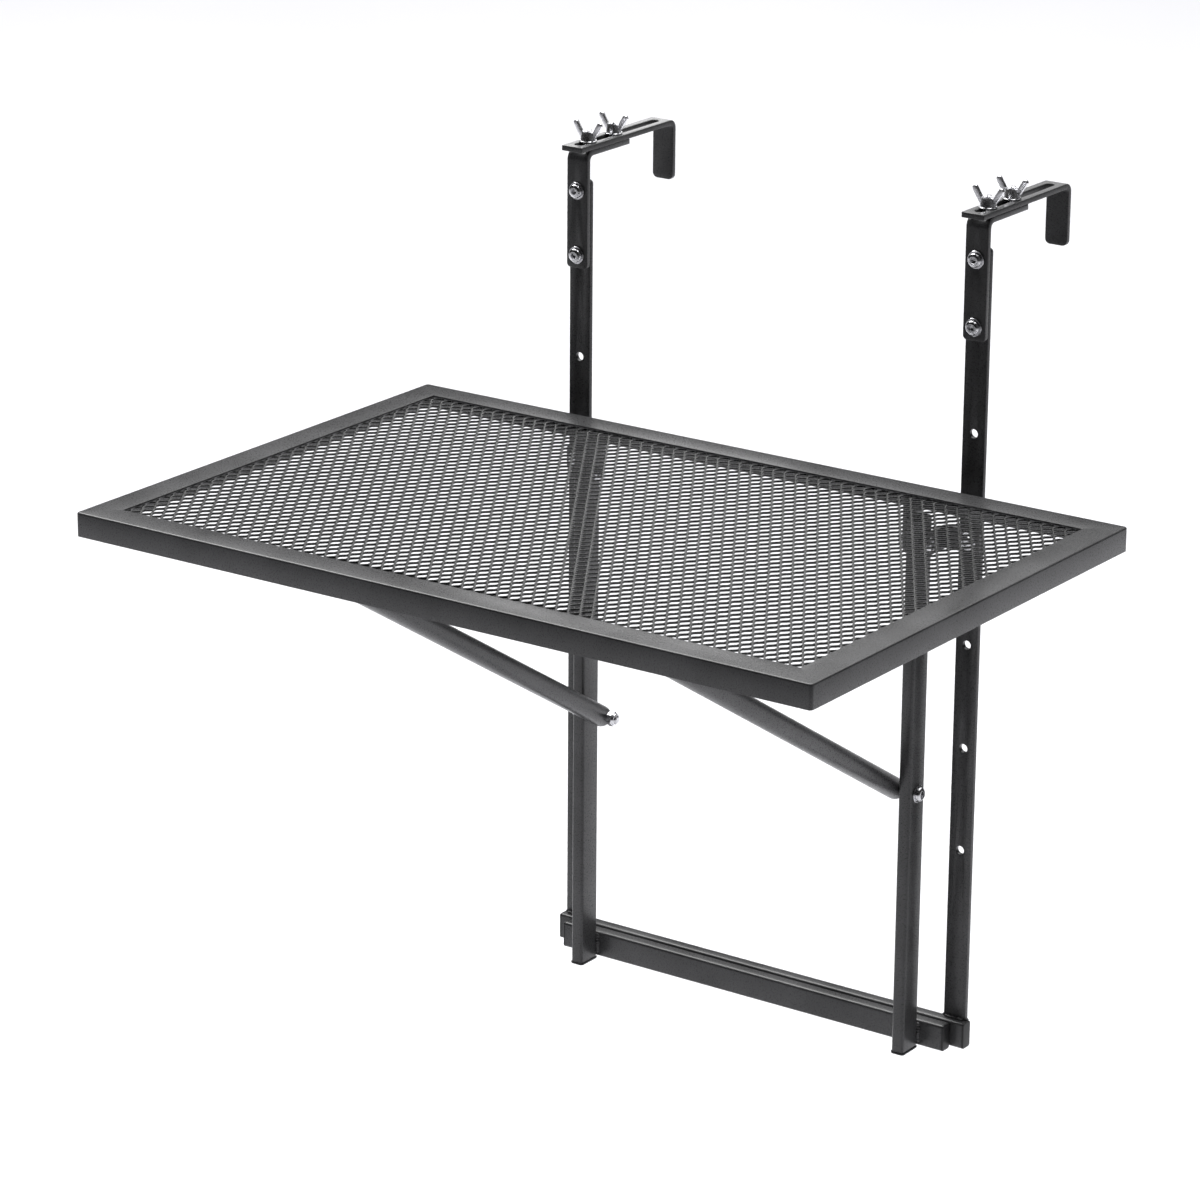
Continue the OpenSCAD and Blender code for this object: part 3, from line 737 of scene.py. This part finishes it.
def wingNut():
    # round hub with two upright ears that widen towards their sloping tops
    base, top, high = wing["hubD"] / 2, wing["hubTopD"] / 2, wing["hubH"]
    profile = [(3.1, 0), (base - 0.4, 0), (base, 0.4), (base - 0.1, 1.0), (top + 0.3, high - 0.8)]
    profile += [(top - 0.3, high), (3.3, high), (3.05, high - 0.3), (3.05, 0.3)]
    bm = turned(profile + profile[:1], closed=False)
    # outline of the right ear: up its inner side, over the tip and down its outer side
    inside = [(3.4, 4.4), (5.2, 7.2), (7.5, 10.8), (8.9, 13.1)]
    tip = [(9.5, 13.7), (10.3, 13.9), (11.5, 13.4), (12.2, 12.6), (12.45, 11.6)]
    outside = [(12.0, 10.5), (10.6, 8.2), (8.6, 5.1), (7.1, 2.8), (6.0, 1.2), (4.2, 0.7)]
    upright = axes((1, 0, 0), (0, 0, 1), (0, -1, 0))
    for _, side in sides:
        ear = plate(inside + tip + outside, [], wing["thick"], wing["edge"])
        joinInto(bm, ear, sideOf(side) @ upright)
    return bm


def clampBolt():
    # countersunk head flush with the arm's underside, thread from the hook upwards
    end = hookTop + washerSize["thick"] + wing["hubH"] + nut["tip"]
    head, shank, plain = bolt["sunkRadius"], bolt["d"] / 2, bolt["plain"]
    bm = turned([(0, 0), (head - 0.05, 0), (head, 0.1), (shank, bolt["sunkDeep"]), (shank, plain)])
    joinInto(bm, threadRod(plain, end))
    return bm


def facing(direction, x, y, z, turn=0.0):
    # place whose local Z points to the front, back, left or right, or up
    frames = {
        "front": ((1, 0, 0), (0, 0, 1), (0, -1, 0)),
        "back": ((1, 0, 0), (0, 0, -1), (0, 1, 0)),
        "right": ((0, 1, 0), (0, 0, 1), (1, 0, 0)),
        "left": ((0, -1, 0), (0, 0, 1), (-1, 0, 0)),
        "up": ((1, 0, 0), (0, 1, 0), (0, 0, 1)),
    }
    return axes(*frames[direction], (x, y, z)) @ Matrix.Rotation(math.radians(turn), 4, "Z")


def fastenerSet(name, node, body, master, places):
    # one piece with a copy of the master at every place
    bm = bmesh.new()
    for place in places:
        joinInto(bm, master.copy(), place)
    master.free()
    makePiece(name, bm, body, zinc, [node], smooth=32)


def boltedJoint(name, node, body, grip, heads, nuts, washers=()):
    # grip is what lies between the head and the nut
    fastenerSet(name + "Bolts", node + "_bolts", body, buttonBolt(grip), heads)
    if washers:
        fastenerSet(name + "Washers", node + "_washers", body, washer(), washers)
    fastenerSet(name + "Nuts", node + "_nuts", body, lockNut(), nuts)


washerT = washerSize["thick"]
about = Matrix.Rotation(math.pi, 4, "X")  # turns a nut round to face the other way
bracketFace = -post["thick"] - bracket["thick"]
socketTurns = {"left": (12, 41), "right": (25, 3)}  # how far each screw was tightened, in degrees
bracketSpots = []
for label, side in sides:
    for z, turn in zip(postHoles, socketTurns[label]):
        bracketSpots.append((side * post["x"], z, turn))
boltedJoint(
    "bracket",
    "bracket",
    "hanger",
    washerT - bracketFace,
    heads=[facing("front", x, bracketFace - washerT, z, turn) for x, z, turn in bracketSpots],
    nuts=[facing("back", x, 0, z, turn) for x, z, turn in bracketSpots],
    washers=[facing("front", x, bracketFace, z) for x, z, turn in bracketSpots],
)

hingeFace = -post["thick"] - hinge["thick"]
postXs = [side * post["x"] for _, side in sides]
boltedJoint(
    "hinge",
    "hinge_bracket",
    "hanger",
    washerT - hingeFace,
    heads=[facing("front", x, hingeFace - washerT, axisZ) for x in postXs],
    nuts=[facing("back", x, 0, axisZ) for x in postXs],
    washers=[facing("front", x, hingeFace, axisZ) for x in postXs],
)

pivotSeat = hinge["inner"] + hinge["thick"]
boltedJoint(
    "pivot",
    "pivot",
    "hanger",
    pivotSeat - tab["inner"],
    heads=[facing(label, side * pivotSeat, axisY, axisZ) for label, side in sides],
    nuts=[facing(label, side * tab["inner"], axisY, axisZ) @ about for label, side in sides],
)

legOuter = leg["x"] + leg["width"] / 2
braceInner = braceX - brace["radius"]
braceSeat = legOuter + washerT
boltedJoint(
    "brace",
    "brace",
    "leg_frame",
    braceSeat - braceInner,
    heads=[facing(label, side * braceSeat, *bracePivot, 10) for label, side in sides],
    nuts=[facing(label, side * braceInner, *bracePivot, 14) @ about for label, side in sides],
    washers=[facing(label, side * legOuter, *bracePivot) for label, side in sides],
)

clampSpots = [(x, y) for x in postXs for y in clampY]
clampFeet = [facing("up", x, y, 0) for x, y in clampSpots]
clampTops = [facing("up", x, y, hookTop) for x, y in clampSpots]
fastenerSet("clampBolts", "clamp_bolts", "hanger", clampBolt(), clampFeet)
fastenerSet("clampWashers", "clamp_washers", "hanger", washer(), clampTops)
for label, side in sides:
    for where, y in zip(("front", "rear"), clampY):
        nutMesh = moved(wingNut(), facing("up", side * post["x"], y, hookTop + washerT))
        node = "wing_nut_" + label + "_" + where
        makePiece("wingNut_" + label + "_" + where, nutMesh, node, castZinc, [node])
print("fasteners made")


# two waves in a bead's thickness and a sideways sway, as shares of its radius; paces are per radius
ripple = {"wave": 0.13, "wavePace": 6.0, "ripples": 0.08, "ripplePace": 5.1, "sway": 0.12, "swayPace": 3.3}
weldStep = 0.28


def weldBead(start, end, radius, seed):
    # lumpy bead along a line, with rounded ends
    start, end = Vector(start), Vector(end)
    along = (end - start).normalized()
    across = along.orthogonal().normalized()
    other = along.cross(across)
    length = (end - start).length
    count = max(8, int(length / (radius * weldStep)))
    loops = []
    for i in range(count + 1):
        at = length * i / count
        swell = 1 + ripple["wave"] * math.cos(ripple["wavePace"] * at / radius + seed)
        swell += ripple["ripples"] * math.sin(ripple["ripplePace"] * at / radius + 2.3 * seed)
        toEnd = min(at, length - at, radius) / radius
        r = max(radius * swell * math.sqrt(1 - (1 - toEnd) ** 2), 0.05)
        sway = ripple["sway"] * radius * math.sin(ripple["swayPace"] * at / radius + seed)
        centre = start + along * at + across * sway
        loops.append([centre + across * u + other * v for u, v in circle(0, 0, r, 12)])
    return tidied(rings(loops))


def weldSet(name, body, lines, radius):
    # every bead gets its own seed, so that no two are the same
    bm = bmesh.new()
    for i, (start, end) in enumerate(lines):
        joinInto(bm, weldBead(start, end, radius, 1.7 * i + 0.4))
    makePiece(name, bm, body, weldCoat, smooth=60)


# beads beside the legs, under the posts and beside the hinge tabs, each a little proud of its corner
proud = 0.2
weldRadius = {"leg": 1.9, "post": 1.5, "tab": 1.3}
# how far the beads stop short of the edges they follow; postY and tabDrop are their two ends
weldEnds = {
    "legFoot": 2.5,
    "legTop": 1.5,
    "postFront": 0.3,
    "postInset": 1.0,
    "postY": (-3.6, -0.6),
    "tabDrop": (16.5, 6.0),
}
barTop, barFoot = legBarZ + crossbar["high"] / 2, legBarZ - crossbar["high"] / 2
legRear = leg["y"] + leg["depth"] / 2 + proud
postWeldZ = postFoot + proud
tabWeldY = rails["rearY"] - rails["thick"] - proud
legLines, postLines, tabLines = [], [], []
for label, side in sides:
    half, y = post["width"] / 2 - weldEnds["postInset"], -post["thick"] - weldEnds["postFront"]
    postLines.append([(side * (post["x"] + e * half), y, postWeldZ) for e in (-1, 1)])
    for e in (-1, 1):
        x = side * (leg["x"] + e * (leg["width"] / 2 + proud))
        low, high = barFoot + weldEnds["legFoot"], barTop - weldEnds["legTop"]
        legLines.append([(x, legRear, z) for z in (low, high)])
        x = side * (post["x"] + e * (post["width"] / 2 + proud))
        postLines.append([(x, y, postWeldZ) for y in weldEnds["postY"]])
        x = side * (tab["inner"] + tab["thick"] / 2 + e * (tab["thick"] / 2 + proud))
        tabLines.append([(x, tabWeldY, topZ - drop) for drop in weldEnds["tabDrop"]])
weldSet("legWelds", "leg_frame", legLines, weldRadius["leg"])
weldSet("postWelds", "hanger", postLines, weldRadius["post"])
weldSet("tabWelds", "table_top", tabLines, weldRadius["tab"])
print("welds made")

# the studio is bright behind and overhead and falls off towards the viewer
room = {"floorDrop": 0.30, "floorSize": 60.0, "behind": 0.75, "overhead": 0.5, "beside": 1.2, "ahead": 0.22}
floorLook = {"dark": 0.90, "light": 0.93, "cloudSize": 900.0, "rough": 0.8, "specular": 0.2}
lens = {
    "focal": 142.09,
    "sensor": 36.0,
    "yaw": 34.98,
    "pitch": 18.53,
    "roll": 0.40,
    "at": (1.7731, -2.7503, 0.7864),
}

floorMesh = bpy.data.meshes.new("floor")
bm = bmesh.new()
bmesh.ops.create_grid(bm, x_segments=4, y_segments=4, size=room["floorSize"] / 2)
bm.to_mesh(floorMesh)
bm.free()
floor = bpy.data.objects.new("floor", floorMesh)
floor.location = (0, 0, cadLow.z - room["floorDrop"])
scene.collection.objects.link(floor)
floorPaint, tree, shader, place = nodeMaterial("paleFloor")
cloud = noiseAt(tree, place, floorLook["cloudSize"], 2.0)
colour = shadeBetween(tree, cloud, floorLook["dark"], floorLook["light"])
tree.links.new(colour, shader.inputs["Base Color"])
shader.inputs["Roughness"].default_value = floorLook["rough"]
shader.inputs["Specular IOR Level"].default_value = floorLook["specular"]
floorMesh.materials.append(floorPaint)

world = bpy.data.worlds.new("studio")
world.use_nodes = True
scene.world = world
scene.view_settings.view_transform = "Standard"
scene.view_settings.look = "None"


def brightnessTowards(tree, place, direction, fromAmount, toAmount, low, high):
    # rises from low to high as the look turns to this direction; amounts are cosines
    dot = tree.nodes.new("ShaderNodeVectorMath")
    dot.operation = "DOT_PRODUCT"
    dot.inputs[1].default_value = Vector(direction).normalized()
    tree.links.new(place.outputs["Generated"], dot.inputs[0])
    ramp = tree.nodes.new("ShaderNodeMapRange")
    ramp.interpolation_type = "SMOOTHSTEP"
    ramp.inputs["From Min"].default_value = fromAmount
    ramp.inputs["From Max"].default_value = toAmount
    ramp.inputs["To Min"].default_value = low
    ramp.inputs["To Max"].default_value = high
    tree.links.new(dot.outputs["Value"], ramp.inputs["Value"])
    return ramp.outputs["Result"]


def brighter(tree, one, two):
    pick = tree.nodes.new("ShaderNodeMath")
    pick.operation = "MAXIMUM"
    tree.links.new(one, pick.inputs[0])
    tree.links.new(two, pick.inputs[1])
    return pick.outputs[0]


tree = world.node_tree
place = tree.nodes.new("ShaderNodeTexCoord")
behind = brightnessTowards(tree, place, (-0.57, 0.82, 0), -0.2, 0.6, room["ahead"], room["behind"])
overhead = brightnessTowards(tree, place, (0, 0, 1), 0.35, 0.85, room["ahead"], room["overhead"])
beside = brightnessTowards(tree, place, (0.95, 0.3, 0), 0.3, 0.9, room["ahead"], room["beside"])
total = brighter(tree, brighter(tree, behind, overhead), beside)
tree.links.new(total, tree.nodes["Background"].inputs["Strength"])


def softBox(name, at, target, width, height, brightness):
    # brightness is that of its face, with 1 as plain white; the box itself isn't seen
    light = bpy.data.lights.new(name, "AREA")
    light.shape = "RECTANGLE"
    light.size = width
    light.size_y = height
    light.energy = math.pi * brightness * width * height
    box = bpy.data.objects.new(name, light)
    box.location = at
    box.rotation_euler = (Vector(target) - Vector(at)).to_track_quat("-Z", "Y").to_euler()
    box.visible_camera = False
    scene.collection.objects.link(box)


middle = (0.0, -0.2, -0.3)
hookBrightness = {"left": 2.9, "right": 1.1}
softBox("overheadBox", (0.2, 0.2, 2.2), middle, 1.6, 1.0, 3.0)
softBox("edgeBox", (-1.6, 0.2, 2.2), middle, 1.6, 2.0, 6.0)
softBox("sweepBox", (-2.2, 3.2, 4.5), (-2.2, 3.2, 0.0), 9.0, 6.5, 2.9)
for label, side in sides:
    x = side * 0.17
    softBox("hookBox_" + label, (x - 0.22, 0.37, 0.10), (x, 0.05, 0.01), 0.26, 0.12, hookBrightness[label])

yaw, pitch, roll = (math.radians(lens[angle]) for angle in ("yaw", "pitch", "roll"))
ahead = Vector((-math.sin(yaw) * math.cos(pitch), math.cos(yaw) * math.cos(pitch), -math.sin(pitch)))
level = Vector((math.cos(yaw), math.sin(yaw), 0))
upward = level.cross(ahead)
cameraData = bpy.data.cameras.new("camera")
cameraData.lens = lens["focal"]
cameraData.sensor_width = lens["sensor"]
cameraData.clip_start, cameraData.clip_end = 0.05, 100.0
camera = bpy.data.objects.new("camera", cameraData)
rolledLevel = math.cos(roll) * level + math.sin(roll) * upward
rolledUp = math.cos(roll) * upward - math.sin(roll) * level
camera.matrix_world = axes(rolledLevel, rolledUp, -ahead, lens["at"])
scene.collection.objects.link(camera)
scene.camera = camera
print("room, light and camera made")
